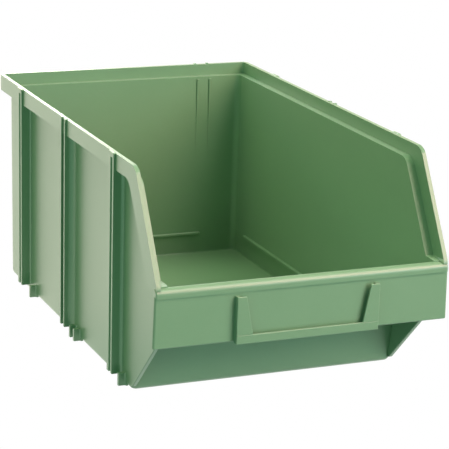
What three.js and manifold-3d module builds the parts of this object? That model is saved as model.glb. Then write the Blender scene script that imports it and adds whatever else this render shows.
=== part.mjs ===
// Stackable open-fronted storage bin, one injection moulding, described by its moulded members.
// Millimetres, +Z up, front towards -Y, X across the width; origin under the middle of the base.
import * as THREE from 'three';
import Module from 'manifold-3d';

const wasm = await Module();
wasm.setup();

// overall sizes
const DEPTH = 350;          // front lip to back rim
const WIDTH = 210;          // across the rim
const HEIGHT = 160;         // base to rim
const WALL = 2.5;           // wall thickness
const RIM_T = 3;            // rim band thickness
const HOLDER_OUT = 4;       // how far the label holder stands off its panel
const BACK_FIN_OUT = 1.6;   // how far the back fins stand past the rim
const PANEL_INSET = 0.8;    // how far the panel sits behind the lip
const FRONT = (HOLDER_OUT - PANEL_INSET - BACK_FIN_OUT - DEPTH) / 2;
const BACK = FRONT + DEPTH;
const HALF = WIDTH / 2;

// body
const BODY = 99;            // outer face of the side walls
const INNER = BODY - WALL;
const BASE_FRONT = FRONT + 60;
const BASE_BACK = FRONT + 342;
const WALL_BACK = FRONT + 344.5;   // outer face of the back wall under the ledge
const FLOOR_T = 2.5;

// rim
const LEDGE = 150;          // top of the stacking ledge
const LEDGE_T = 2;
const RIM_CORNER = FRONT + 43;     // where the rim turns down along the opening
const LEDGE_CORNER = FRONT + 54;

// front
const LIP_TOP = 90;
const LIP_H = 6.5;
const LIP_D = 6;
const LIP_ROUND = 2.5;
const PANEL_T = 3;
const PANEL_FACE = FRONT + PANEL_INSET;
const PANEL_BOTTOM = 50;
const PANEL_BACK = PANEL_FACE + PANEL_T;
const RISER_TOP = 44;       // top of the set-back lower front wall
const RISER_LEAN = 6;       // how far the riser leans forward at its top
const RAMP_TOP = 61;        // where the front ramp meets the label panel
const GUSSET_TOP = 57;      // where the 45 degree gusset edge reaches the label panel
const FLANGE_FOOT = 18;     // depth of the opening flange at lip level
const FLANGE_STEP = 1.2;    // thickness of the step behind the flange

// side ribs, feet and other small features
const RIB_OUT = HALF + 1.5;
const RIB_BOTTOM = 6;
const RIB_TOP = HEIGHT;
const RIB_T = 2;
const RIB_PITCH = 8;        // spacing of the two fins of a station
const STATIONS = { rear: FRONT + 291.5, middle: FRONT + 187, front: FRONT + 84.5 };
const GROOVE = { deep: 1.2, wide: 3.5, land: 2.5, cap: 4 };   // groove down the solid ribs
const FOOT = { out: 104, high: 9, thick: 2.5 };
const FEET = {
  rear: [FRONT + 274], middle: [FRONT + 177, FRONT + 168], front: [FRONT + 73],
};
const BACK_FINS = [59.5, 70];
const BEAD = { low: 18.5, high: 21, out: 2.5, half: 64, start: FRONT + 95, end: FRONT + 318 };
const HOLDER = {
  low: 49, high: 81, bar: 55, left: 50, right: 52.5, strip: 2.5, lip: 1.6, tip: 6.5, root: 11.5,
};

const group = new THREE.Group();
group.name = 'storage_bin';
const plastic = new THREE.MeshStandardMaterial({ color: 0x7f9a7c, roughness: 0.5, metalness: 0 });

function add(name, geometry) {
  const mesh = new THREE.Mesh(geometry, plastic.clone());
  mesh.name = name;
  group.add(mesh);
}

// box between two corners
function box([x0, x1], [y0, y1], [z0, z1]) {
  const g = new THREE.BoxGeometry(x1 - x0, y1 - y0, z1 - z0);
  return g.translate((x0 + x1) / 2, (y0 + y1) / 2, (z0 + z1) / 2);
}

function shape(points) {
  return new THREE.Shape(points.map(([u, v]) => new THREE.Vector2(u, v)));
}

// (y, z) outline extruded from x0 to x1
function acrossX(points, x0, x1) {
  const g = new THREE.ExtrudeGeometry(shape(points), { depth: x1 - x0, bevelEnabled: false });
  const m = new THREE.Matrix4().makeBasis(
    new THREE.Vector3(0, 1, 0), new THREE.Vector3(0, 0, 1), new THREE.Vector3(1, 0, 0));
  return g.applyMatrix4(m).translate(x0, 0, 0);
}

// (x, z) outline extruded from y0 to y1
function alongY(points, y0, y1) {
  const g = new THREE.ExtrudeGeometry(shape(points), { depth: y1 - y0, bevelEnabled: false });
  return g.rotateX(Math.PI / 2).translate(0, y1, 0);
}

function toSolid(geometry) {
  const flat = geometry.index ? geometry.toNonIndexed() : geometry;
  const pos = flat.getAttribute('position');
  const seen = new Map();
  const verts = [];
  const tris = [];
  for (let i = 0; i < pos.count; i += 1) {
    const v = [pos.getX(i), pos.getY(i), pos.getZ(i)];
    const key = v.map((c) => Math.round(c * 1e4)).join(',');
    if (!seen.has(key)) {
      seen.set(key, verts.length / 3);
      verts.push(...v);
    }
    tris.push(seen.get(key));
  }
  return new wasm.Manifold(new wasm.Mesh({
    numProp: 3, vertProperties: new Float32Array(verts), triVerts: new Uint32Array(tris),
  }));
}

function toGeometry(solid) {
  const mesh = solid.getMesh();
  const g = new THREE.BufferGeometry();
  g.setAttribute('position', new THREE.BufferAttribute(mesh.vertProperties, 3));
  g.setIndex(new THREE.BufferAttribute(mesh.triVerts, 1));
  return g;
}

function join(...geometries) {
  return toGeometry(geometries.map(toSolid).reduce((a, b) => a.add(b)));
}

// interval from a to b on the left (-1) or right (+1) side
function side(sign, a, b) {
  return sign > 0 ? [a, b] : [-b, -a];
}

const SIDES = { left: -1, right: 1 };

function buildBody() {
  add('floor_panel', box([-INNER, INNER], [BASE_FRONT, BASE_BACK - WALL], [0, FLOOR_T]));
  const outline = [
    [BASE_FRONT, 0], [BASE_BACK, 0], [WALL_BACK, LEDGE - LEDGE_T],
    [LEDGE_CORNER, LEDGE - LEDGE_T], [FRONT + FLANGE_FOOT, LIP_TOP - LEDGE_T],
    [FRONT + LIP_D, LIP_TOP - LEDGE_T], [FRONT + LIP_D, LIP_TOP - LIP_H],
    [PANEL_BACK, LIP_TOP - LIP_H], [PANEL_BACK, GUSSET_TOP],
  ];
  for (const [name, sign] of Object.entries(SIDES)) {
    add(`wall_${name}`, acrossX(outline, ...side(sign, INNER, BODY)));
  }
  add('wall_back', acrossX([
    [BASE_BACK - WALL, 0], [BASE_BACK, 0], [WALL_BACK, LEDGE - LEDGE_T],
    [WALL_BACK - WALL, LEDGE - LEDGE_T],
  ], -INNER, INNER));
}

function buildFront() {
  const lipLow = LIP_TOP - LIP_H;
  add('front_lip', acrossX([
    [FRONT, lipLow], [FRONT + LIP_D, lipLow], [FRONT + LIP_D, LIP_TOP],
    [FRONT + LIP_ROUND, LIP_TOP], [FRONT, LIP_TOP - LIP_ROUND],
  ], -HALF, HALF));
  add('label_panel', box([-HALF, HALF], [PANEL_FACE, PANEL_BACK], [PANEL_BOTTOM, lipLow]));
  const top = BASE_FRONT - RISER_LEAN;
  add('front_riser', acrossX([
    [BASE_FRONT, FLOOR_T], [BASE_FRONT + WALL, FLOOR_T],
    [top + WALL, RISER_TOP], [top, RISER_TOP],
  ], -INNER, INNER));
  add('front_ramp', acrossX([
    [top, RISER_TOP], [top + WALL, RISER_TOP], [PANEL_BACK, RAMP_TOP + WALL],
    [PANEL_BACK, RAMP_TOP],
  ], -INNER, INNER));
}

function buildRim() {
  const low = LEDGE - LEDGE_T;
  for (const [name, sign] of Object.entries(SIDES)) {
    const section = [
      [INNER, low], [HALF, low], [HALF, HEIGHT], [HALF - RIM_T, HEIGHT],
      [HALF - RIM_T, LEDGE], [INNER, LEDGE],
    ].map(([x, z]) => [sign * x, z]);
    if (sign < 0) section.reverse();
    add(`rim_${name}`, alongY(section, LEDGE_CORNER, BACK - RIM_T));
    add(`opening_flange_${name}`, buildFlange(sign));
  }
  const ledge = box([-INNER, INNER], [WALL_BACK - WALL, BACK - RIM_T], [low, LEDGE]);
  const band = box([-HALF, HALF], [BACK - RIM_T, BACK], [low, HEIGHT]);
  add('rim_back', join(ledge, band));
}

// band down the sloping edge of the opening, with the step that joins it to the side wall
function buildFlange(sign) {
  const foot = FRONT + FLANGE_FOOT;
  const floor = LIP_TOP - LEDGE_T;
  const face = [
    [LEDGE_CORNER, LEDGE - LEDGE_T], [LEDGE_CORNER, HEIGHT], [RIM_CORNER, HEIGHT],
    [FRONT, LIP_TOP], [FRONT + LIP_D, LIP_TOP], [FRONT + LIP_D, floor], [foot, floor],
  ].reverse();
  const back = [
    [LEDGE_CORNER, LEDGE - LEDGE_T], [LEDGE_CORNER, LEDGE],
    [LEDGE_CORNER - FLANGE_STEP, LEDGE], [foot - FLANGE_STEP, LIP_TOP],
    [FRONT + LIP_D, LIP_TOP], [FRONT + LIP_D, floor], [foot, floor],
  ].reverse();
  return join(acrossX(face, ...side(sign, HALF - RIM_T, HALF)),
    acrossX(back, ...side(sign, INNER, HALF - RIM_T)));
}

// the rib section stands on the wall below the rim band and on the band's face beside it
function ribOutline(y, thick, sign) {
  const low = LEDGE - LEDGE_T;
  const points = [
    [BODY, RIB_BOTTOM], [RIB_OUT, RIB_BOTTOM], [RIB_OUT, RIB_TOP], [HALF, RIB_TOP],
    [HALF, low], [BODY, low],
  ].map(([x, z]) => [sign * x, z]);
  if (sign < 0) points.reverse();
  return alongY(points, y - thick / 2, y + thick / 2);
}

function buildRibs() {
  for (const [name, sign] of Object.entries(SIDES)) {
    for (const station of ['rear', 'front']) {
      const y = STATIONS[station];
      const wide = RIB_PITCH + RIB_T;
      const rib = toSolid(ribOutline(y, wide, sign));
      const start = y - wide / 2 + GROOVE.land;
      const groove = toSolid(box(side(sign, RIB_OUT - GROOVE.deep, RIB_OUT + 1),
        [start, start + GROOVE.wide], [RIB_BOTTOM - 1, RIB_TOP - GROOVE.cap]));
      add(`rib_${station}_${name}`, toGeometry(rib.subtract(groove)));
    }
    for (const [end, step] of [['a', RIB_PITCH / 2], ['b', -RIB_PITCH / 2]]) {
      add(`fin_middle_${end}_${name}`, ribOutline(STATIONS.middle + step, RIB_T, sign));
    }
  }
  for (const [i, x] of BACK_FINS.entries()) {
    const outline = [
      [BACK + BACK_FIN_OUT, RIB_BOTTOM], [BACK + BACK_FIN_OUT, RIB_TOP],
      [BACK, RIB_TOP], [BACK, LEDGE - LEDGE_T], [WALL_BACK, LEDGE - LEDGE_T],
      [BASE_BACK + (WALL_BACK - BASE_BACK) * RIB_BOTTOM / (LEDGE - LEDGE_T), RIB_BOTTOM],
    ];
    add(`fin_back_${i + 1}`, acrossX(outline, x - RIB_T / 2, x + RIB_T / 2));
  }
}

function buildFeet() {
  for (const [name, sign] of Object.entries(SIDES)) {
    for (const [station, places] of Object.entries(FEET)) {
      for (const [i, y] of places.entries()) {
        add(`foot_${station}_${i + 1}_${name}`, box(side(sign, BODY, FOOT.out),
          [y - FOOT.thick / 2, y + FOOT.thick / 2], [0, FOOT.high]));
      }
    }
  }
}

// U-shaped frame for a label card, open at the top: strips stand on the panel's face and
// carry lips in front of the slot that the card slides into
function buildHolder() {
  const front = PANEL_FACE - HOLDER_OUT;
  const back = front + HOLDER.lip;
  const { low, high, bar, left, right, strip, tip, root } = HOLDER;
  const floor = low + strip;
  add('label_holder_strip_bottom', box([-left, right], [back, PANEL_FACE], [low, floor]));
  add('label_holder_strip_left', box([-left, strip - left], [back, PANEL_FACE], [floor, high]));
  add('label_holder_strip_right', box([right - strip, right], [back, PANEL_FACE], [floor, high]));
  add('label_holder_lip_bottom', box([-left, right], [front, back], [low, bar]));
  add('label_holder_lip_left', alongY([
    [-left, bar], [root - left, bar], [tip - left, high], [-left, high],
  ], front, back));
  add('label_holder_lip_right', alongY([
    [right - root, bar], [right, bar], [right, high], [right - tip, high],
  ], front, back));
}

function buildBeads() {
  const lean = (WALL_BACK - BASE_BACK) / (LEDGE - LEDGE_T);
  const inside = (z) => BASE_BACK - WALL + lean * z;
  add('bead_back', acrossX([
    [inside(BEAD.low), BEAD.low], [inside(BEAD.high), BEAD.high],
    [inside(BEAD.low) - BEAD.out, BEAD.high], [inside(BEAD.low) - BEAD.out, BEAD.low],
  ], -BEAD.half, BEAD.half));
  for (const [name, sign] of Object.entries(SIDES)) {
    add(`bead_${name}`, box(side(sign, INNER - BEAD.out, INNER),
      [BEAD.start, BEAD.end], [BEAD.low, BEAD.high]));
  }
}

buildBody();
buildFront();
buildRim();
buildRibs();
buildFeet();
buildHolder();
buildBeads();

export default group;
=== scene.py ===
"""Looks of a stackable open-fronted storage bin, moulded in one piece of green plastic.

The moulding is drawn as a bent sheet (floor, walls, stepped rim and the flange round the
opening), given its wall thickness, and then parted into the members that the frame names.
Ribs, feet, front lip, label panel, label holder and beads are pieces of their own.
"""
import logging
import math
from dataclasses import dataclass, field
from enum import Enum
from typing import Callable, Optional, Sequence

import bmesh
import bpy
from mathutils import Matrix, Vector


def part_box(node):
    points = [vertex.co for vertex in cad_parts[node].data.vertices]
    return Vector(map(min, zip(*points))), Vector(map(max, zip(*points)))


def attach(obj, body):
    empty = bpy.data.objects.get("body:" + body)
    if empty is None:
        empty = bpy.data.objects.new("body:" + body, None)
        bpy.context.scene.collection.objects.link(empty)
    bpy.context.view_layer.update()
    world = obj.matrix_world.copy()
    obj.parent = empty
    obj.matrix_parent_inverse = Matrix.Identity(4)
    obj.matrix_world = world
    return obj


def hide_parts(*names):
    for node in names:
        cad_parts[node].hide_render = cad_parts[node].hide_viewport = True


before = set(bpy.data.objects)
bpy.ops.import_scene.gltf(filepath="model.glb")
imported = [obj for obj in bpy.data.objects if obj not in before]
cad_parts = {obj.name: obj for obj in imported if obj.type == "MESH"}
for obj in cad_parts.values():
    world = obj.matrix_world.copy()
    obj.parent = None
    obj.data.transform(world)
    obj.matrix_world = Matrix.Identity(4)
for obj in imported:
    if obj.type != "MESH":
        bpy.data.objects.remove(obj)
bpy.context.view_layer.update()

LOG = logging.getLogger("storage_bin")
MM = 0.001
TINY = 1e-6
MERGE = 0.02 * MM
CUT = 1e-7
CRISP_ANGLE = math.radians(32)
PARALLEL = 0.985
BODY = "root"
Point = tuple[float, float]


class Side(Enum):
    """The two long sides of the bin."""

    LEFT = -1
    RIGHT = 1

    @property
    def label(self) -> str:
        """Lower-case name used in piece names."""
        return self.name.lower()


class Station(Enum):
    """Where the side ribs stand along the bin."""

    REAR = "rear"
    MIDDLE = "middle"
    FRONT = "front"


# --- shader nodes


class Signal:
    """A node socket that takes part in arithmetic; each operation adds a Math node."""

    def __init__(self, tree: bpy.types.NodeTree, socket: bpy.types.NodeSocket) -> None:
        """Wraps a socket.

        Args:
            tree: the node tree that new Math nodes go into.
            socket: the output socket that carries the value.
        """
        self.tree = tree
        self.socket = socket

    def _math(self, operation: str, first: "Signal | float", second: "Signal | float",
              clamp: bool = False) -> "Signal":
        """Adds one Math node.

        Args:
            operation: the Math node's operation.
            first: its first value.
            second: its second value.
            clamp: whether the result is held between 0 and 1.

        Returns:
            The node's result.
        """
        node = self.tree.nodes.new("ShaderNodeMath")
        node.operation = operation
        node.use_clamp = clamp
        for slot, value in zip(node.inputs, (first, second)):
            if isinstance(value, Signal):
                self.tree.links.new(value.socket, slot)
            else:
                slot.default_value = float(value)
        return Signal(self.tree, node.outputs[0])

    def __add__(self, other: "Signal | float") -> "Signal":
        """self + other."""
        return self._math("ADD", self, other)

    def __radd__(self, other: float) -> "Signal":
        """other + self."""
        return self._math("ADD", other, self)

    def __sub__(self, other: "Signal | float") -> "Signal":
        """self - other."""
        return self._math("SUBTRACT", self, other)

    def __rsub__(self, other: float) -> "Signal":
        """other - self."""
        return self._math("SUBTRACT", other, self)

    def __mul__(self, other: "Signal | float") -> "Signal":
        """self * other."""
        return self._math("MULTIPLY", self, other)

    def __rmul__(self, other: float) -> "Signal":
        """other * self."""
        return self._math("MULTIPLY", other, self)

    def clamped(self) -> "Signal":
        """self held between 0 and 1."""
        return self._math("ADD", self, 0.0, clamp=True)


@dataclass
class Painter:
    """Builds the nodes of one material or of the world."""

    tree: bpy.types.NodeTree

    @classmethod
    def on(cls, owner: bpy.types.Material | bpy.types.World) -> "Painter":
        """Empties an owner's node tree and returns its painter."""
        owner.use_nodes = True
        owner.node_tree.nodes.clear()
        return cls(owner.node_tree)

    def node(self, kind: str, settings: Optional[dict] = None,
             values: Optional[dict] = None) -> bpy.types.Node:
        """Adds a node.

        Args:
            kind: the node's type name.
            settings: node properties, set before its sockets.
            values: socket name or number to a number, colour or Signal.

        Returns:
            The new node.
        """
        node = self.tree.nodes.new(kind)
        for key, value in (settings or {}).items():
            if key == "stops":
                self._set_stops(node.color_ramp, value)
            else:
                setattr(node, key, value)
        for key, value in (values or {}).items():
            if isinstance(value, Signal):
                self.tree.links.new(value.socket, node.inputs[key])
            else:
                node.inputs[key].default_value = value
        return node

    def _set_stops(self, ramp: bpy.types.ColorRamp,
                   stops: Sequence[tuple[float, Sequence[float]]]) -> None:
        """Sets a ramp's stops.

        Args:
            ramp: the colour ramp.
            stops: (position, colour) pairs in order.
        """
        while len(ramp.elements) < len(stops):
            ramp.elements.new(1.0)
        for element, (position, colour) in zip(ramp.elements, stops):
            element.position = position
            element.color = colour

    def signal(self, node: bpy.types.Node, output: int | str = 0) -> Signal:
        """A node's output as a Signal."""
        return Signal(self.tree, node.outputs[output])


@dataclass(frozen=True)
class MouldedPlastic:
    """Satin injection-moulded polypropylene: soft green, fine spark-eroded grain, light scuffs."""

    name: str
    colour: tuple[float, float, float]
    deep: tuple[float, float, float]
    pale: tuple[float, float, float]
    roughness: float = 0.34
    specular: float = 0.75
    cloud_size: float = 90 * MM
    rub_size: float = 55 * MM
    flow_size: float = 22 * MM
    speck_size: float = 2.2 * MM
    grain_size: float = 0.55 * MM
    grain_depth: float = 0.05 * MM
    grain_strength: float = 0.35
    flow_gloss: float = 0.05
    grain_gloss: float = 0.06
    scuff_gloss: float = 0.05
    scuff_tone: float = 0.06
    sheen: tuple[float, float] = (0.12, 0.5)

    def build(self) -> bpy.types.Material:
        """Makes the material.

        Returns:
            The finished material.
        """
        material = bpy.data.materials.new(self.name)
        paint = Painter.on(material)
        place = paint.signal(paint.node("ShaderNodeTexCoord"), "Object")
        cloud = self._noise(paint, place, self.cloud_size, 3.0)
        flow = self._noise(paint, place, self.flow_size, 6.0)
        grain = self._noise(paint, place, self.grain_size, 2.0)
        speck = self._noise(paint, place, self.speck_size, 3.0)
        scuff = self._scratches(paint, place)
        shade = (cloud * 0.55 + flow * 0.25 + speck * 0.2).clamped()
        body = paint.node("ShaderNodeValToRGB", {"stops": [
            (0.32, (*self.deep, 1)), (0.5, (*self.colour, 1)), (0.7, (*self.pale, 1)),
        ]}, {0: shade})
        worn = paint.node("ShaderNodeMix", {"data_type": "RGBA"}, {
            0: scuff * self.scuff_tone, 6: paint.signal(body), 7: (*self._chalk(), 1),
        })
        rough = (self.roughness + (flow - 0.5) * self.flow_gloss
                 + (grain - 0.5) * self.grain_gloss + scuff * self.scuff_gloss).clamped()
        height = grain * 0.7 + speck * 0.3 - scuff * 0.3
        bump = paint.node("ShaderNodeBump", {}, {
            "Strength": self.grain_strength, "Distance": self.grain_depth, "Height": height,
        })
        shader = paint.node("ShaderNodeBsdfPrincipled", {}, {
            "Base Color": paint.signal(worn, 2), "Roughness": rough,
            "Normal": paint.signal(bump), "IOR": 1.49, "Specular IOR Level": self.specular,
            "Sheen Weight": self.sheen[0], "Sheen Roughness": self.sheen[1],
        })
        paint.node("ShaderNodeOutputMaterial", {}, {"Surface": paint.signal(shader)})
        return material

    def _chalk(self) -> tuple[float, float, float]:
        """The dusty tone that scuffed plastic turns to."""
        return tuple(0.45 * c + 0.28 for c in self.pale)

    def _noise(self, paint: Painter, place: Signal, size: float, detail: float) -> Signal:
        """Adds a noise pattern.

        Args:
            paint: the painter of this material.
            place: the coordinates.
            size: the pattern's size in metres.
            detail: octaves.

        Returns:
            The noise value.
        """
        node = paint.node("ShaderNodeTexNoise", {}, {
            "Vector": place, "Scale": 1 / size, "Detail": detail, "Roughness": 0.55,
        })
        return paint.signal(node)

    def _scratches(self, paint: Painter, place: Signal) -> Signal:
        """Adds sparse hairline rub marks.

        Args:
            paint: the painter of this material.
            place: the coordinates.

        Returns:
            A mask from 0, clean, to 1, rubbed.
        """
        stretched = paint.node("ShaderNodeMapping", {}, {
            "Vector": place, "Rotation": (0.35, 0.2, 0.6), "Scale": (60.0, 420.0, 300.0),
        })
        line = paint.node("ShaderNodeTexNoise", {}, {
            "Vector": paint.signal(stretched), "Scale": 1.0, "Detail": 4.0, "Roughness": 0.6,
        })
        patch = self._noise(paint, place, self.rub_size, 2.0)
        ridge = paint.node("ShaderNodeMapRange", {}, {
            "Value": paint.signal(line), "From Min": 0.60, "From Max": 0.74,
        })
        rubbed = paint.node("ShaderNodeMapRange", {}, {
            "Value": patch, "From Min": 0.48, "From Max": 0.66,
        })
        return (paint.signal(ridge) * paint.signal(rubbed)).clamped()


# --- mesh helpers


def weight_normals(mesh: bpy.types.Mesh) -> None:
    """Shades rounds smoothly while the flat faces beside them stay flat.

    Each corner's normal is the mean of the faces round its vertex that turn less than the
    crisp angle from its own face, weighted by their area.

    Args:
        mesh: the mesh, changed in place.
    """
    around: dict[int, list[bpy.types.MeshPolygon]] = {}
    for face in mesh.polygons:
        for index in face.vertices:
            around.setdefault(index, []).append(face)
    limit = math.cos(CRISP_ANGLE)
    normals = []
    for face in mesh.polygons:
        for index in face.vertices:
            total = Vector()
            for other in around[index]:
                if other.normal.dot(face.normal) >= limit:
                    total += other.normal * other.area
            normals.append(total.normalized())
    mesh.normals_split_custom_set(normals)


def finish_mesh(bm: bmesh.types.BMesh, name: str, plastic: bpy.types.Material,
                *nodes: str) -> None:
    """Turns a bmesh into a piece that rides on the bin.

    Args:
        bm: the closed mesh, in metres in the bin's frame; it is freed.
        name: the piece's name.
        plastic: its finish.
        nodes: the frame's nodes that it stands for.
    """
    loose = sum(not edge.is_manifold for edge in bm.edges)
    if loose:
        LOG.warning("piece %s: %d open edges", name, loose)
    mesh = bpy.data.meshes.new(name)
    bm.to_mesh(mesh)
    bm.free()
    mesh.materials.append(plastic)
    mesh.shade_smooth()
    weight_normals(mesh)
    piece = bpy.data.objects.new(name, mesh)
    bpy.context.scene.collection.objects.link(piece)
    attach(piece, BODY)
    if nodes:
        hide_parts(*nodes)
    LOG.info("piece %s: %d faces", name, len(mesh.polygons))


def finish_member(bm: bmesh.types.BMesh, node: str, plastic: bpy.types.Material) -> None:
    """Turns a bmesh into the piece that stands for one node and bears its name."""
    finish_mesh(bm, node + "_moulded", plastic, node)


def new_verts(grown: dict) -> list[bmesh.types.BMVert]:
    """The vertices that an extrude operator made."""
    return [g for g in grown["geom"] if isinstance(g, bmesh.types.BMVert)]


def prism(points: Sequence[Sequence[float]], along: Vector) -> bmesh.types.BMesh:
    """Extrudes an outline into a closed solid.

    Args:
        points: the outline's corners in metres.
        along: the extrusion.

    Returns:
        The solid, with its faces pointing out.
    """
    bm = bmesh.new()
    face = bm.faces.new([bm.verts.new(point) for point in points])
    moved = new_verts(bmesh.ops.extrude_face_region(bm, geom=[face]))
    bmesh.ops.translate(bm, verts=moved, vec=along)
    bmesh.ops.recalc_face_normals(bm, faces=bm.faces)
    return bm


def side_prism(points: Sequence[Point], x0: float, x1: float) -> bmesh.types.BMesh:
    """Extrudes a (y, z) outline across the bin from x0 to x1."""
    return prism([(x0, y, z) for y, z in points], Vector((x1 - x0, 0, 0)))


def plan_prism(points: Sequence[Point], z0: float, z1: float) -> bmesh.types.BMesh:
    """Extrudes an (x, y) outline upwards from z0 to z1."""
    return prism([(x, y, z0) for x, y in points], Vector((0, 0, z1 - z0)))


def front_prism(points: Sequence[Point], y0: float, y1: float) -> bmesh.types.BMesh:
    """Extrudes an (x, z) outline along the bin from y0 to y1."""
    return prism([(x, y0, z) for x, z in points], Vector((0, y1 - y0, 0)))


def block(low: Sequence[float], high: Sequence[float]) -> bmesh.types.BMesh:
    """Makes a closed box.

    Args:
        low: its lowest corner in metres.
        high: its highest corner.

    Returns:
        The box.
    """
    bm = bmesh.new()
    size = [b - a for a, b in zip(low, high)]
    middle = [(a + b) / 2 for a, b in zip(low, high)]
    bmesh.ops.create_cube(bm, size=1.0, matrix=Matrix.Translation(middle)
                          @ Matrix.Diagonal((*size, 1.0)))
    return bm


def round_edges(bm: bmesh.types.BMesh, radius: float, segments: int = 3,
                wanted: Optional[Callable[[bmesh.types.BMEdge], bool]] = None) -> None:
    """Rounds edges.

    Args:
        bm: the mesh.
        radius: bevel width in metres.
        segments: steps round the bevel.
        wanted: which edges; all of them when left out.
    """
    edges = [e for e in bm.edges if wanted is None or wanted(e)]
    bmesh.ops.bevel(bm, geom=edges, offset=radius, offset_type="OFFSET", segments=segments,
                    profile=0.5, affect="EDGES", clamp_overlap=True, material=-1)


def middle_of(edge: bmesh.types.BMEdge) -> Vector:
    """An edge's midpoint."""
    return (edge.verts[0].co + edge.verts[1].co) / 2


def runs_along(edge: bmesh.types.BMEdge, axis: int) -> bool:
    """Whether an edge lies along a frame axis (0, 1 or 2)."""
    span = edge.verts[1].co - edge.verts[0].co
    return span.length > 0 and abs(span.normalized()[axis]) > PARALLEL


def whole(bm: bmesh.types.BMesh) -> list:
    """All of a mesh's elements, as the cutting operator takes them."""
    return bm.verts[:] + bm.edges[:] + bm.faces[:]


def keep_half(bm: bmesh.types.BMesh, point: Vector, normal: Vector) -> None:
    """Cuts a closed mesh with a plane, keeps the side behind it and closes the cut.

    Args:
        bm: the mesh.
        point: a point of the plane.
        normal: points to the side that goes.
    """
    cut = bmesh.ops.bisect_plane(bm, geom=whole(bm), dist=CUT, plane_co=point,
                                 plane_no=normal, clear_outer=True)
    rim = [g for g in cut["geom_cut"] if isinstance(g, bmesh.types.BMVert)]
    bmesh.ops.remove_doubles(bm, verts=rim, dist=MERGE)
    open_edges = [e for e in bm.edges if e.is_boundary]
    if open_edges:
        bmesh.ops.triangle_fill(bm, edges=open_edges, use_beauty=True, use_dissolve=False,
                                normal=normal)
        bmesh.ops.recalc_face_normals(bm, faces=bm.faces)


def merge(bm: bmesh.types.BMesh, other: bmesh.types.BMesh) -> None:
    """Moves another mesh's faces into a mesh.

    Args:
        bm: the mesh that grows.
        other: the mesh that is emptied and freed.
    """
    carrier = bpy.data.meshes.new("carrier")
    other.to_mesh(carrier)
    other.free()
    bm.from_mesh(carrier)
    bpy.data.meshes.remove(carrier)


# --- the moulding


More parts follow.
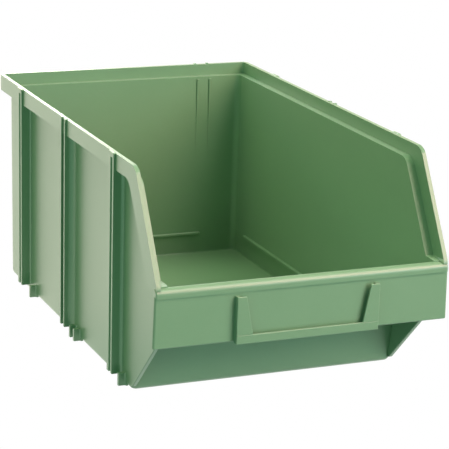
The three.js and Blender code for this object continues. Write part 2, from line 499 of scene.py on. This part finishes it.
@dataclass
class Moulding:
    """Sizes of the sheet that the floor, walls, rim and opening flange are bent from."""

    plastic: bpy.types.Material
    wall: float = 2.9 * MM
    corner: float = 8.0 * MM
    riser_corner: float = 5.0 * MM
    rim_corner: float = 5.0 * MM
    base_round: float = 4.0 * MM
    edge_round: float = 0.8 * MM
    draft: float = 0.01
    rim_run: float = 43 * MM
    flange_foot: float = 17.5 * MM
    ramp_top: float = 61 * MM
    riser_lean: float = 6 * MM
    riser_top: float = 44 * MM
    base_step: float = 2.5 * MM
    shoulder_round: float = 10 * MM
    crook_round: float = 5 * MM
    flange_tip: Point = (1.2 * MM, 4 * MM)
    flange_toe: Point = (0.6 * MM, 1 * MM)
    crease: float = math.radians(35)
    floor_line: float = 9 * MM
    rim_line: float = 5 * MM
    side_line: float = 12 * MM
    rear_line: float = 12 * MM
    opening_line: float = 6 * MM
    lip: tuple[Vector, Vector] = field(default_factory=lambda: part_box("front_lip"))
    panel: tuple[Vector, Vector] = field(default_factory=lambda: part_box("label_panel"))
    right: tuple[Vector, Vector] = field(default_factory=lambda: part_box("wall_right"))
    rim: tuple[Vector, Vector] = field(default_factory=lambda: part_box("rim_back"))
    flange: tuple[Vector, Vector] = field(default_factory=lambda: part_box("opening_flange_left"))
    floor: tuple[Vector, Vector] = field(default_factory=lambda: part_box("floor_panel"))
    back_wall: tuple[Vector, Vector] = field(default_factory=lambda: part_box("wall_back"))

    @property
    def front(self) -> float:
        """The lip's foremost y."""
        return self.lip[0].y

    @property
    def half(self) -> float:
        """Half the width over the rim."""
        return self.lip[1].x

    @property
    def body_half(self) -> float:
        """Half the width over the side walls."""
        return self.right[1].x

    @property
    def top(self) -> float:
        """Height of the rim."""
        return self.rim[1].z

    @property
    def ledge(self) -> float:
        """Height of the ledge's underside."""
        return self.back_wall[1].z

    @property
    def base_front(self) -> float:
        """y of the riser's foot."""
        return self.floor[0].y

    @property
    def ledge_corner(self) -> float:
        """y at which the ledge turns down along the opening."""
        return self.flange[1].y

    def drafted(self, bm: bmesh.types.BMesh) -> None:
        """Leans the sides in towards the base, as a mould needs.

        Args:
            bm: the mesh, changed in place.
        """
        for vert in bm.verts:
            drop = max(0.0, self.ledge - vert.co.z) / self.ledge
            vert.co.x *= 1 - self.draft * drop

    def opening(self) -> list[Point]:
        """Draws the opening's edge on a side wall.

        Returns:
            Its (y, z) corners, from front to back.
        """
        foot = self.flange[0].z
        return [(self.panel[1].y, foot), (self.front + self.flange_foot, foot),
                (self.ledge_corner, self.ledge), (self.back_wall[1].y, self.ledge)]

    def sheet(self) -> bmesh.types.BMesh:
        """Bends the sheet: floor, riser, ramp and walls, then the ledge, then the band.

        Returns:
            The open sheet, its faces on the outside of the moulding.
        """
        bm = bmesh.new()
        base_back = self.floor[1].y + self.base_step
        path = [(self.panel[1].y, self.ramp_top),
                (self.base_front - self.riser_lean, self.riser_top),
                (self.base_front, 0.0), (base_back, 0.0), (self.back_wall[1].y, self.ledge)]
        x = self.body_half
        left = [bm.verts.new((-x, y, z)) for y, z in path]
        spine = [bm.edges.new(pair) for pair in zip(left, left[1:])]
        right = new_verts(bmesh.ops.extrude_edge_only(bm, edges=spine))
        bmesh.ops.translate(bm, verts=right, vec=Vector((2 * x, 0, 0)))
        for sign in (-1, 1):
            chain = self._chain(bm, sign * x, path)
            crown = [bm.verts.new((sign * x, y, z)) for y, z in reversed(self.opening()[:-1])]
            bm.faces.new(chain + crown)
        bmesh.ops.recalc_face_normals(bm, faces=bm.faces)
        self._face_outwards(bm)
        self._round_tub(bm, x, base_back)
        self._turn_out_rim(bm)
        self._face_outwards(bm)
        return bm

    def _chain(self, bm: bmesh.types.BMesh, x: float,
               path: Sequence[Point]) -> list[bmesh.types.BMVert]:
        """Finds the vertices at one end of the extruded path.

        Args:
            bm: the sheet.
            x: where that end is.
            path: the (y, z) corners.

        Returns:
            The vertices in the path's order.
        """
        found = []
        for y, z in path:
            spot = Vector((x, y, z))
            found.append(min(bm.verts, key=lambda v: (v.co - spot).length))
        return found

    def _face_outwards(self, bm: bmesh.types.BMesh) -> None:
        """Turns the whole sheet so that the floor faces down.

        Args:
            bm: the sheet, changed in place.
        """
        bm.normal_update()
        floor = max((f for f in bm.faces if abs(f.normal.z) > 0.99), key=lambda f: f.calc_area())
        if floor.normal.z > 0:
            bmesh.ops.reverse_faces(bm, faces=bm.faces)

    def _round_tub(self, bm: bmesh.types.BMesh, x: float, base_back: float) -> None:
        """Rounds the upright corners, then the edges round the floor, riser and ramp.

        Args:
            bm: the sheet, changed in place.
            x: half the width over the walls.
            base_back: y at the back of the base.
        """
        def at_side(edge: bmesh.types.BMEdge) -> bool:
            """Whether an edge joins a side wall to the path."""
            at_wall = abs(abs(middle_of(edge).x) - x) < TINY and not runs_along(edge, 0)
            return at_wall and len(edge.link_faces) == 2

        def upright(edge: bmesh.types.BMEdge) -> bool:
            """Whether it is a back corner."""
            m = middle_of(edge)
            return at_side(edge) and m.y > base_back - TINY and m.z > TINY

        def riser(edge: bmesh.types.BMEdge) -> bool:
            """Whether it is a corner of the riser."""
            m = middle_of(edge)
            return at_side(edge) and m.y < self.base_front and TINY < m.z < self.riser_top

        round_edges(bm, self.corner, 8, upright)
        round_edges(bm, self.riser_corner, 6, riser)

        def rounded_foot(edge: bmesh.types.BMEdge) -> bool:
            """Whether it goes round the base."""
            return len(edge.link_faces) == 2 and all(abs(v.co.z) < TINY for v in edge.verts)

        round_edges(bm, self.base_round, 5, rounded_foot)

        def shoulder(edge: bmesh.types.BMEdge) -> bool:
            """Whether it is the bend between riser and ramp."""
            return (len(edge.link_faces) == 2 and runs_along(edge, 0)
                    and all(abs(v.co.z - self.riser_top) < MM for v in edge.verts))

        round_edges(bm, self.shoulder_round, 6, shoulder)

    def _turn_out_rim(self, bm: bmesh.types.BMesh) -> None:
        """Extrudes the opening's edge outwards as the ledge, then up and forward as the band.

        Args:
            bm: the sheet, changed in place.
        """
        foot = self.flange[0].z

        def on_opening(vert: bmesh.types.BMVert) -> bool:
            """Tests for the walls' upper edge and the slope of the opening.

            Args:
                vert: a vertex.

            Returns:
                Whether it is on either.
            """
            y, z = vert.co.y, vert.co.z
            at_side = abs(abs(vert.co.x) - self.body_half) < TINY
            along_top = abs(z - self.ledge) < TINY and y > self.ledge_corner - TINY
            return along_top or (at_side and z > foot - TINY and y < self.ledge_corner + TINY
                                 and vert.is_boundary)

        edge_loop = [e for e in bm.edges if e.is_boundary and all(on_opening(v) for v in e.verts)]
        ledge = set(new_verts(bmesh.ops.extrude_edge_only(bm, edges=edge_loop)))
        for vert in ledge:
            self._move_to_rim(vert)
        band_edges = [e for e in bm.edges if e.is_boundary and all(v in ledge for v in e.verts)]
        for vert in new_verts(bmesh.ops.extrude_edge_only(bm, edges=band_edges)):
            self._raise(vert)

        def crook(edge: bmesh.types.BMEdge) -> bool:
            """Tests for the bend of the rim where the opening begins.

            Args:
                edge: an edge.

            Returns:
                Whether it crosses the ledge or the band there.
            """
            ends = sorted(edge.verts, key=lambda v: v.co.z)
            low, high = ends[0].co, ends[1].co
            ledge_end = all(abs(v.co.y - self.ledge_corner) < TINY
                            and abs(v.co.z - self.ledge) < TINY for v in edge.verts)
            band_end = (abs(low.y - self.ledge_corner) < TINY and abs(low.z - self.ledge) < TINY
                        and abs(high.y - self.front - self.rim_run) < TINY)
            return ledge_end or band_end

        round_edges(bm, self.crook_round, 5, crook)

    def _move_to_rim(self, vert: bmesh.types.BMVert) -> None:
        """Moves a vertex of the wall's upper edge out to the rim's outline.

        The wall's rounded corner goes to a tighter corner of the rim.

        Args:
            vert: the vertex.
        """
        across = abs(vert.co.x) - (self.body_half - self.corner)
        along = vert.co.y - (self.back_wall[1].y - self.corner)
        tight = self.rim_corner / self.corner
        if across > -CUT:
            reach = self.half - self.rim_corner + tight * across
            vert.co.x = math.copysign(reach, vert.co.x)
        if along > -CUT:
            vert.co.y = self.rim[1].y - self.rim_corner + tight * along

    def _raise(self, vert: bmesh.types.BMVert) -> None:
        """Moves a vertex of the ledge's outer edge to the rim's edge.

        Args:
            vert: the vertex.
        """
        y, z = vert.co.y, vert.co.z
        foot = self.flange[0].z
        if abs(z - self.ledge) < TINY:
            vert.co.z = self.top
            if abs(y - self.ledge_corner) < TINY:
                vert.co.y = self.front + self.rim_run
        elif y > self.front + self.flange_foot - TINY:
            vert.co.y, vert.co.z = self.front + self.flange_tip[0], foot + self.flange_tip[1]
        else:
            vert.co.y, vert.co.z = self.front + self.flange_toe[0], foot + self.flange_toe[1]

    def solid(self) -> bmesh.types.BMesh:
        """Gives the sheet its thickness and small edge rounds.

        Returns:
            The closed moulding.
        """
        sheet = self.sheet()
        mesh = bpy.data.meshes.new("moulding")
        sheet.to_mesh(mesh)
        sheet.free()
        blank = bpy.data.objects.new("moulding", mesh)
        bpy.context.scene.collection.objects.link(blank)
        thicken = blank.modifiers.new("wall", "SOLIDIFY")
        thicken.thickness = self.wall
        thicken.offset = -1.0
        thicken.use_even_offset = True
        soften = blank.modifiers.new("edges", "BEVEL")
        soften.width = self.edge_round
        soften.segments = 3
        soften.limit_method = "ANGLE"
        soften.angle_limit = self.crease
        bpy.context.view_layer.update()
        shaped = blank.evaluated_get(bpy.context.evaluated_depsgraph_get())
        bm = bmesh.new()
        bm.from_mesh(shaped.to_mesh())
        shaped.to_mesh_clear()
        bpy.data.objects.remove(blank)
        bpy.data.meshes.remove(mesh)
        bmesh.ops.dissolve_degenerate(bm, edges=bm.edges, dist=MERGE)
        return bm

    def members(self) -> dict[str, list[tuple[Vector, Vector]]]:
        """Places the cuts that part the moulding.

        Returns:
            Each member's planes, as a point and the direction that goes.
        """
        rim_line = self.ledge - self.rim_line
        inner = self.body_half - self.side_line
        rear = self.back_wall[0].y - self.rear_line
        opening_line = self.ledge_corner + self.opening_line
        up, down = Vector((0, 0, 1)), Vector((0, 0, -1))
        x_plus, x_minus = Vector((1, 0, 0)), Vector((-1, 0, 0))
        y_plus, y_minus = Vector((0, 1, 0)), Vector((0, -1, 0))

        def plane(axis: Vector, value: float) -> tuple[Vector, Vector]:
            """The plane across an axis at a coordinate."""
            return axis * value * (axis.x + axis.y + axis.z), axis

        above_floor = plane(down, self.floor_line)
        below_rim = plane(up, rim_line)
        above_rim = plane(down, rim_line)
        parts = {
            "floor_panel": [plane(up, self.floor_line)],
            "wall_back": [above_floor, below_rim, plane(y_minus, rear)],
            "rim_back": [above_rim, plane(y_minus, rear)],
            "front_ramp": [above_floor, below_rim, plane(y_plus, rear),
                           plane(x_plus, inner), plane(x_minus, -inner)],
        }
        for side, outer, drop in ((Side.LEFT, -inner, x_plus), (Side.RIGHT, inner, x_minus)):
            parts[f"wall_{side.label}"] = [above_floor, below_rim, plane(y_plus, rear),
                                           plane(drop, outer)]
            parts[f"rim_{side.label}"] = [above_rim, plane(y_plus, rear), plane(drop, outer),
                                          plane(y_minus, opening_line)]
            parts[f"opening_flange_{side.label}"] = [above_rim, plane(y_plus, opening_line),
                                                     plane(drop, outer)]
        return parts

    def build(self) -> None:
        """Makes every member of the moulding."""
        moulding = self.solid()
        self.drafted(moulding)
        stands_for = {"front_ramp": ("front_ramp", "front_riser")}
        for name, planes in self.members().items():
            part = moulding.copy()
            for point, normal in planes:
                keep_half(part, point, normal)
            finish_mesh(part, name + "_moulded", self.plastic, *stands_for.get(name, (name,)))
        moulding.free()


@dataclass
class Gusset:
    """The side wall's fin in front of the riser, with its edge at 45 degrees."""

    mould: Moulding
    side: Side
    reach: float = 62.0 * MM
    inset: float = 0.03 * MM
    foot: float = 2.6 * MM
    toe: float = 4 * MM
    heel: float = 2 * MM
    drop: float = 8 * MM
    bite: float = 0.4 * MM
    past_corner: float = 0.5 * MM
    overlap: float = 1 * MM
    edge: float = 0.6 * MM
    slope_line: float = 63 * MM
    edge_end: float = 66 * MM

    def build(self) -> None:
        """Makes the fin."""
        m = self.mould
        front = m.front
        panel = m.panel[1].y - self.bite
        back = m.base_front + m.riser_corner + self.past_corner
        lean = m.base_front - m.riser_lean
        outline = [
            (back, self.foot), (back - self.heel, self.foot),
            (front + self.reach - self.toe, self.toe),
            (panel, self.reach + front - panel), (panel, m.ramp_top + self.overlap),
            (lean, m.riser_top + self.overlap), (back, m.riser_top - self.drop),
        ]
        inner, outer = m.body_half - m.wall, m.body_half - self.inset
        x0, x1 = (inner, outer) if self.side is Side.RIGHT else (-outer, -inner)
        bm = side_prism(outline, x0, x1)

        def free_edge(edge: bmesh.types.BMEdge) -> bool:
            """Whether an edge goes round the sloping front."""
            y, z = middle_of(edge).y - front, middle_of(edge).z
            return y + z < self.slope_line and y < self.edge_end and not runs_along(edge, 0)

        round_edges(bm, self.edge, 3, free_edge)
        m.drafted(bm)
        finish_mesh(bm, f"gusset_{self.side.label}", m.plastic)


@dataclass
class Front:
    """The rolled lip and the label panel below it."""

    mould: Moulding
    roll: float = 4.3 * MM
    back_roll: float = 1.4 * MM
    end_round: float = 0.9 * MM
    flare: float = 1.2 * MM
    taper: float = 0.6
    tuck: float = 1.5 * MM
    corner: float = 1.6 * MM
    bottom_round: float = 0.8 * MM

    def build(self) -> None:
        """Makes the lip and the panel."""
        self._lip()
        self._panel()

    def _lip(self) -> None:
        """Makes the rolled lip."""
        low, high = self.mould.lip
        bm = block(low, high)

        def long_edge(edge: bmesh.types.BMEdge, y: float) -> bool:
            """Whether it is the upper long edge at a depth."""
            m = middle_of(edge)
            return runs_along(edge, 0) and abs(m.y - y) < TINY and m.z > low.z + TINY

        round_edges(bm, self.roll, 9, lambda e: long_edge(e, low.y))
        round_edges(bm, self.back_roll, 4, lambda e: long_edge(e, high.y))
        round_edges(bm, self.end_round, 3, lambda e: abs(middle_of(e).x) > high.x - TINY)
        finish_mesh(bm, "front_lip_rolled", self.mould.plastic, "front_lip")

    def _panel(self) -> None:
        """Makes the flat panel that carries the label holder."""
        low, high = self.mould.panel
        grown = Vector((self.flare, 0, 0))
        bm = block(low - grown, high + grown + Vector((0, 0, self.tuck)))
        for vert in bm.verts:
            if vert.co.z > high.z:
                vert.co.x -= math.copysign(self.flare * self.taper, vert.co.x)
        round_edges(bm, self.corner, 5,
                    lambda e: runs_along(e, 2) and middle_of(e).y < low.y + TINY)
        round_edges(bm, self.bottom_round, 3, lambda e: middle_of(e).z < low.z + TINY)
        finish_mesh(bm, "label_panel_face", self.mould.plastic, "label_panel")


@dataclass
class Holder:
    """The U-shaped label holder: strips on the panel and lips in front of the card slot."""

    plastic: bpy.types.Material
    edge: float = 0.45 * MM
    tip: float = 6.5 * MM
    sunk: tuple[float, float] = (0.3 * MM, 0.4 * MM)

    def build(self) -> None:
        """Makes the six members of the holder."""
        places = ("bottom", "left", "right")
        for place in places:
            self._strip(f"label_holder_strip_{place}")
        for place in places:
            self._lip(place)

    def _strip(self, node: str) -> None:
        """Makes one strip, set into the panel and the lip it joins.

        Args:
            node: the node it stands for.
        """
        low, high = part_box(node)
        ahead, behind = self.sunk
        bm = block(low - Vector((0, ahead, 0)), high + Vector((0, behind, 0)))
        finish_member(bm, node, self.plastic)

    def _lip(self, place: str) -> None:
        """Makes one lip; the uprights widen towards the bottom.

        Args:
            place: which lip.
        """
        node = f"label_holder_lip_{place}"
        low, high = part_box(node)
        top = {"left": (low.x, low.x + self.tip), "right": (high.x - self.tip, high.x),
               "bottom": (low.x, high.x)}[place]
        bm = front_prism([(low.x, low.z), (high.x, low.z), (top[1], high.z), (top[0], high.z)],
                         low.y, high.y)
        round_edges(bm, self.edge, 3,
                    lambda e: place == "bottom" or middle_of(e).z > low.z + TINY)
        finish_member(bm, node, self.plastic)


@dataclass
class SideRibs:
    """The upright ribs, fins and stacking feet of one side."""

    mould: Moulding
    side: Side
    edge: float = 0.4 * MM
    sunk: float = 0.6 * MM
    foot_sunk: float = 1.6 * MM
    land: float = 2.5 * MM
    groove: float = 3.5 * MM
    depth: float = 1.2 * MM
    cap: float = 3.5 * MM
    cap_over: float = 0.1 * MM
    cap_out: float = 0.15 * MM
    cap_round: float = 0.7 * MM
    under_cap: float = 0.8 * MM
    proud: float = 0.4 * MM
    seat: float = 1 * MM
    bite: float = 0.5 * MM
    clear: float = 1.2 * MM
    root_sunk: float = 0.1 * MM
    root_steps: int = 6
    rear_root: float = 1.5 * MM
    front_root: float = 2.5 * MM
    fin_roots: tuple[float, float] = (1.0 * MM, 5.0 * MM)
    foot_root: float = 1.2 * MM
    foot_clear: float = 2 * MM

    def build(self) -> None:
        """Makes the ribs, fins and feet."""
        self._rib(Station.REAR, self.rear_root)
        self._rib(Station.FRONT, self.front_root)
        self._fin("a", self.fin_roots[0])
        self._fin("b", self.fin_roots[1])
        feet = {Station.REAR: 1, Station.MIDDLE: 2, Station.FRONT: 1}
        for station, count in feet.items():
            for number in range(1, count + 1):
                self._foot(station, number)

    def _outline(self, low: Vector, high: Vector, root: float, sunk: float,
                 face: Sequence[Point] = ()) -> list[Point]:
        """Draws a rib's plan, with a rounded root at its front.

        Args:
            low: lowest corner of the node's box.
            high: highest corner of the node's box.
            root: radius of the root.
            sunk: how far the rib goes into the wall.
            face: corners between the two of its outer face.

        Returns:
            (x, y) corners.
        """
        sign, wall = self.side.value, self.mould.body_half
        inner, outer = wall - sunk, max(abs(low.x), abs(high.x))
        turn = [math.radians(90 * k / self.root_steps) for k in range(self.root_steps + 1)]
        flare = [(wall - self.root_sunk + root * (1 - math.cos(a)),
                  low.y - root * (1 - math.sin(a))) for a in turn]
        corners = [(inner, low.y - root), *flare, (outer, low.y), *face,
                   (outer, high.y), (inner, high.y)]
        return [(sign * distance, y) for distance, y in corners]

    def _post(self, outline: Sequence[Point], low: float, high: float) -> bmesh.types.BMesh:
        """Stands a plan outline up to the ledge and its outer part on up beside the band.

        Args:
            outline: (x, y) corners.
            low: foot height.
            high: top height.

        Returns:
            The closed post.
        """
        under = self.mould.ledge + self.bite
        seat = self.mould.half - self.seat
        bm = plan_prism(outline, low, under)
        bmesh.ops.bisect_plane(bm, geom=whole(bm), dist=CUT, plane_no=(1, 0, 0),
                               plane_co=(self.side.value * seat, 0, 0))
        tops = [f for f in bm.faces
                if f.calc_center_median().z > under - TINY
                and abs(f.calc_center_median().x) > seat]
        moved = new_verts(bmesh.ops.extrude_face_region(bm, geom=tops))
        bmesh.ops.translate(bm, verts=moved, vec=Vector((0, 0, high - under)))
        bmesh.ops.delete(bm, geom=tops, context="FACES_ONLY")
        bmesh.ops.dissolve_limit(bm, angle_limit=math.radians(1), verts=bm.verts, edges=bm.edges)
        bmesh.ops.recalc_face_normals(bm, faces=bm.faces)

        def crisp(edge: bmesh.types.BMEdge) -> bool:
            """Whether it is a sharp edge that stands clear of the wall."""
            shown = abs(middle_of(edge).x) > seat + self.clear
            return shown and edge.calc_face_angle(0.0) > math.radians(40)

        round_edges(bm, self.edge, 2, crisp)
        return bm

    def _rib(self, station: Station, root: float) -> None:
        """Makes a rib with a shallow groove down its face and a cap at the rim.

        Args:
            station: where it stands.
            root: radius of its root.
        """
        node = f"rib_{station.value}_{self.side.label}"
        low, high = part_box(node)
        outer = max(abs(low.x), abs(high.x))
        bed, start = outer - self.depth, low.y + self.land
        end = start + self.groove
        groove = [(outer, start), (bed, start), (bed, end), (outer, end)]
        bm = self._post(self._outline(low, high, root, self.sunk, groove),
                        low.z, high.z - self.under_cap)
        sign = self.side.value
        xs = sorted((sign * (self.mould.half - self.seat), sign * (outer + self.cap_out)))
        cap = block((xs[0], low.y - self.cap_over, high.z - self.cap),
                    (xs[1], high.y + self.cap_over, high.z + self.proud))
        round_edges(cap, self.cap_round, 3)
        merge(bm, cap)
        self.mould.drafted(bm)
        finish_member(bm, node, self.mould.plastic)

    def _fin(self, end: str, root: float) -> None:
        """Makes one of the pair of thin fins beside the middle slot.

        Args:
            end: which of the pair.
            root: radius of its root.
        """
        node = f"fin_middle_{end}_{self.side.label}"
        low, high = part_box(node)
        bm = self._post(self._outline(low, high, root, self.sunk), low.z, high.z + self.proud)
        self.mould.drafted(bm)
        finish_member(bm, node, self.mould.plastic)

    def _foot(self, station: Station, number: int) -> None:
        """Makes a small stacking foot.

        Args:
            station: the rib it belongs to.
            number: its place there.
        """
        node = f"foot_{station.value}_{number}_{self.side.label}"
        low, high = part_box(node)
        rounded = self.mould.body_half + self.foot_clear
        bm = plan_prism(self._outline(low, high, self.foot_root, self.foot_sunk), low.z, high.z)
        round_edges(bm, self.edge, 2, lambda e: abs(middle_of(e).x) > rounded)
        self.mould.drafted(bm)
        finish_member(bm, node, self.mould.plastic)


@dataclass
class SmallParts:
    """Fins on the back wall and the beads inside."""

    mould: Moulding
    edge: float = 0.45 * MM
    proud: float = 0.6 * MM
    sunk: float = 1 * MM
    bead_sunk: tuple[float, float] = (0.6 * MM, 1.5 * MM)
    bead_round: float = 0.8 * MM

    def build(self) -> None:
        """Makes the fins and beads."""
        for number in (1, 2):
            self._back_fin(f"fin_back_{number}")
        side, back = self.bead_sunk
        self._bead("bead_back", Vector(), Vector((0, back, 0)))
        self._bead("bead_left", Vector((side, 0, 0)), Vector())
        self._bead("bead_right", Vector(), Vector((side, 0, 0)))

    def _back_fin(self, node: str) -> None:
        """Makes a fin on the back wall, whose tip goes on up behind the band.

        Args:
            node: the node it stands for.
        """
        low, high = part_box(node)
        m = self.mould
        band = m.rim[1].y
        bm = block((low.x, m.floor[1].y + self.sunk, low.z), (high.x, high.y, m.ledge + self.sunk))
        tip = block((low.x, band - self.sunk, m.ledge), (high.x, high.y, high.z + self.proud))
        for shape in (bm, tip):
            round_edges(shape, self.edge, 3, lambda e: middle_of(e).y > band)
        merge(bm, tip)
        finish_member(bm, node, m.plastic)

    def _bead(self, node: str, before: Vector, after: Vector) -> None:
        """Makes a thin horizontal bead on an inner wall.

        Args:
            node: the node it stands for.
            before: how far its low side goes into the wall.
            after: how far its high side goes into the wall.
        """
        low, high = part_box(node)
        bm = block(low - before, high + after)
        round_edges(bm, self.bead_round, 3)
        self.mould.drafted(bm)
        finish_member(bm, node, self.mould.plastic)


# --- studio


@dataclass(frozen=True)
class Softbox:
    """A square studio light that looks at the bin from a set distance."""

    name: str
    way: tuple[float, float, float]
    watts: float
    tint: tuple[float, float, float]
    size: float = 1.3
    distance: float = 2.2
    aim: tuple[float, float, float] = (0.0, 0.0, 0.08)

    def build(self) -> None:
        """Adds the light."""
        lamp = bpy.data.lights.new(self.name, "AREA")
        lamp.shape = "RECTANGLE"
        lamp.size = lamp.size_y = self.size
        lamp.energy = self.watts
        lamp.color = self.tint
        holder = bpy.data.objects.new(self.name, lamp)
        away = Vector(self.way).normalized() * self.distance
        holder.location = Vector(self.aim) + away
        holder.rotation_euler = (-away).to_track_quat("-Z", "Y").to_euler()
        bpy.context.scene.collection.objects.link(holder)


@dataclass(frozen=True)
class Studio:
    """Floor, surround, lights and camera."""

    lights: tuple[Softbox, ...]
    surround: tuple[float, float, float] = (0.95, 0.98, 1.0)
    surround_power: float = 0.05
    floor_glow: tuple[tuple[str, tuple[float, float, float], float], ...] = (
        ("camera", (1.0, 1.0, 1.0), 1.0),
        ("behind", (1.0, 0.97, 0.85), 2.0),
        ("before", (0.75, 1.0, 0.85), 1.05),
        ("diffuse", (0.5, 1.0, 0.80), 0.18),
    )
    floor_half: float = 6.0
    floor_drop: float = 0.5 * MM
    glow_from: float = -0.25
    glow_to: float = 0.1
    eye: tuple[float, float, float] = (-0.5223, -1.2499, 0.4624)
    azimuth: float = -23.30
    elevation: float = 15.58
    roll: float = 1.93
    focal: float = 154.1
    shift: tuple[float, float] = (-0.0032, -0.0207)

    def build(self) -> None:
        """Sets up the whole studio; colours are kept as they are lit."""
        bpy.context.scene.view_settings.view_transform = "Standard"
        self._world()
        self._floor()
        for light in self.lights:
            light.build()
        self._camera()

    def _world(self) -> None:
        """A white surround that lights the bin more softly than it shows."""
        world = bpy.data.worlds.new("studio")
        bpy.context.scene.world = world
        paint = Painter.on(world)
        seen = paint.node("ShaderNodeBackground", {}, {0: (1, 1, 1, 1), 1: 1.0})
        lit = paint.node("ShaderNodeBackground", {}, {0: (*self.surround, 1),
                                                      1: self.surround_power})
        path = paint.node("ShaderNodeLightPath")
        mix = self._blend(paint, paint.signal(path, "Is Camera Ray"), lit, seen)
        paint.node("ShaderNodeOutputWorld", {}, {"Surface": paint.signal(mix)})

    def _blend(self, paint: Painter, share: Signal, first: bpy.types.Node,
               second: bpy.types.Node) -> bpy.types.Node:
        """Mixes two shaders.

        Args:
            paint: the painter.
            share: how much of the second there is.
            first: a shader.
            second: another.

        Returns:
            The mix.
        """
        return paint.node("ShaderNodeMixShader", {}, {
            0: share, 1: paint.signal(first), 2: paint.signal(second),
        })

    def _floor(self) -> None:
        """A plain pale floor that also glows: its emission lights the bin and makes the sheen on
        its walls.
        """
        bm = bmesh.new()
        bmesh.ops.create_grid(bm, x_segments=1, y_segments=1, size=self.floor_half)
        mesh = bpy.data.meshes.new("studio_floor")
        bm.to_mesh(mesh)
        bm.free()
        mesh.materials.append(self._floor_finish())
        floor = bpy.data.objects.new("studio_floor", mesh)
        floor.location.z = -self.floor_drop
        bpy.context.scene.collection.objects.link(floor)

    def _floor_finish(self) -> bpy.types.Material:
        """A white floor whose sheen on the bin is set apart from how it looks.

        Returns:
            The material.
        """
        material = bpy.data.materials.new("studio_floor")
        paint = Painter.on(material)
        path = paint.node("ShaderNodeLightPath")
        glow = {kind: paint.node("ShaderNodeEmission", {}, {"Color": (*tint, 1), "Strength": power})
                for kind, tint, power in self.floor_glow}
        place = paint.node("ShaderNodeTexCoord")
        split = paint.node("ShaderNodeSeparateXYZ", {}, {0: paint.signal(place, "Object")})
        depth = paint.node("ShaderNodeMapRange", {}, {
            "Value": paint.signal(split, "Y"), "From Min": self.glow_from,
            "From Max": self.glow_to,
        })
        sheen = self._blend(paint, paint.signal(depth), glow["before"], glow["behind"])
        bounce = self._blend(paint, paint.signal(path, "Is Glossy Ray"), glow["diffuse"], sheen)
        seen = self._blend(paint, paint.signal(path, "Is Camera Ray"), bounce, glow["camera"])
        paint.node("ShaderNodeOutputMaterial", {}, {"Surface": paint.signal(seen)})
        return material

    def _camera(self) -> None:
        """Stands the camera at the left front, a little above the bin."""
        camera = bpy.data.cameras.new("camera")
        camera.sensor_width = 36.0
        camera.lens = self.focal
        camera.shift_x, camera.shift_y = self.shift
        camera.clip_end = 50.0
        holder = bpy.data.objects.new("camera", camera)
        turn, lift = math.radians(self.azimuth), math.radians(self.elevation)
        back = Vector((math.sin(turn) * math.cos(lift), -math.cos(turn) * math.cos(lift),
                       math.sin(lift)))
        level = Vector((0, 0, 1)).cross(back).normalized()
        upright = back.cross(level)
        tilt = math.radians(self.roll)
        right = level * math.cos(tilt) + upright * math.sin(tilt)
        up = upright * math.cos(tilt) - level * math.sin(tilt)
        turned = Matrix((right, up, back)).transposed().to_4x4()
        holder.matrix_world = Matrix.Translation(self.eye) @ turned
        bpy.context.scene.collection.objects.link(holder)
        bpy.context.scene.camera = holder


PLASTIC = MouldedPlastic(
    name="sage_green_plastic",
    colour=(0.190, 0.345, 0.190),
    deep=(0.182, 0.336, 0.182),
    pale=(0.199, 0.355, 0.199),
)

STUDIO = Studio(lights=(
    Softbox("back_low", (0.0, 0.98, 0.15), 34.0, (1.0, 0.97, 0.86)),
    Softbox("back_high", (0.0, 0.80, 0.60), 18.0, (0.85, 0.92, 1.0)),
    Softbox("back_right", (0.45, 0.85, 0.20), 6.0, (1.0, 0.9, 0.7)),
    Softbox("back_left", (-0.25, 0.97, 0.03), 10.0, (1.0, 0.55, 0.3)),
    Softbox("overhead", (-0.04, 0.15, 1.0), 26.0, (0.9, 1.0, 0.72)),
    Softbox("front_right", (0.48, -0.68, 0.55), 46.0, (1.0, 0.66, 0.60)),
    Softbox("front_low", (0.60, -0.75, 0.20), 14.0, (0.4, 0.9, 1.0)),
    Softbox("front_high", (0.30, -0.40, 0.82), 12.0, (1.0, 0.93, 0.88), 0.7),
    Softbox("front_left", (-0.70, -0.60, 0.30), 9.0, (0.5, 1.0, 0.78)),
    Softbox("left_high", (-0.80, 0.30, 0.55), 9.0, (0.9, 1.0, 0.5)),
))


def main() -> None:
    """Builds the bin's members in order, then the studio."""
    mould = Moulding(PLASTIC.build())
    mould.build()
    for side in Side:
        Gusset(mould, side).build()
        SideRibs(mould, side).build()
    Front(mould).build()
    Holder(mould.plastic).build()
    SmallParts(mould).build()
    STUDIO.build()


if __name__ == "__main__":
    logging.basicConfig(level=logging.INFO, format="%(message)s")
    main()
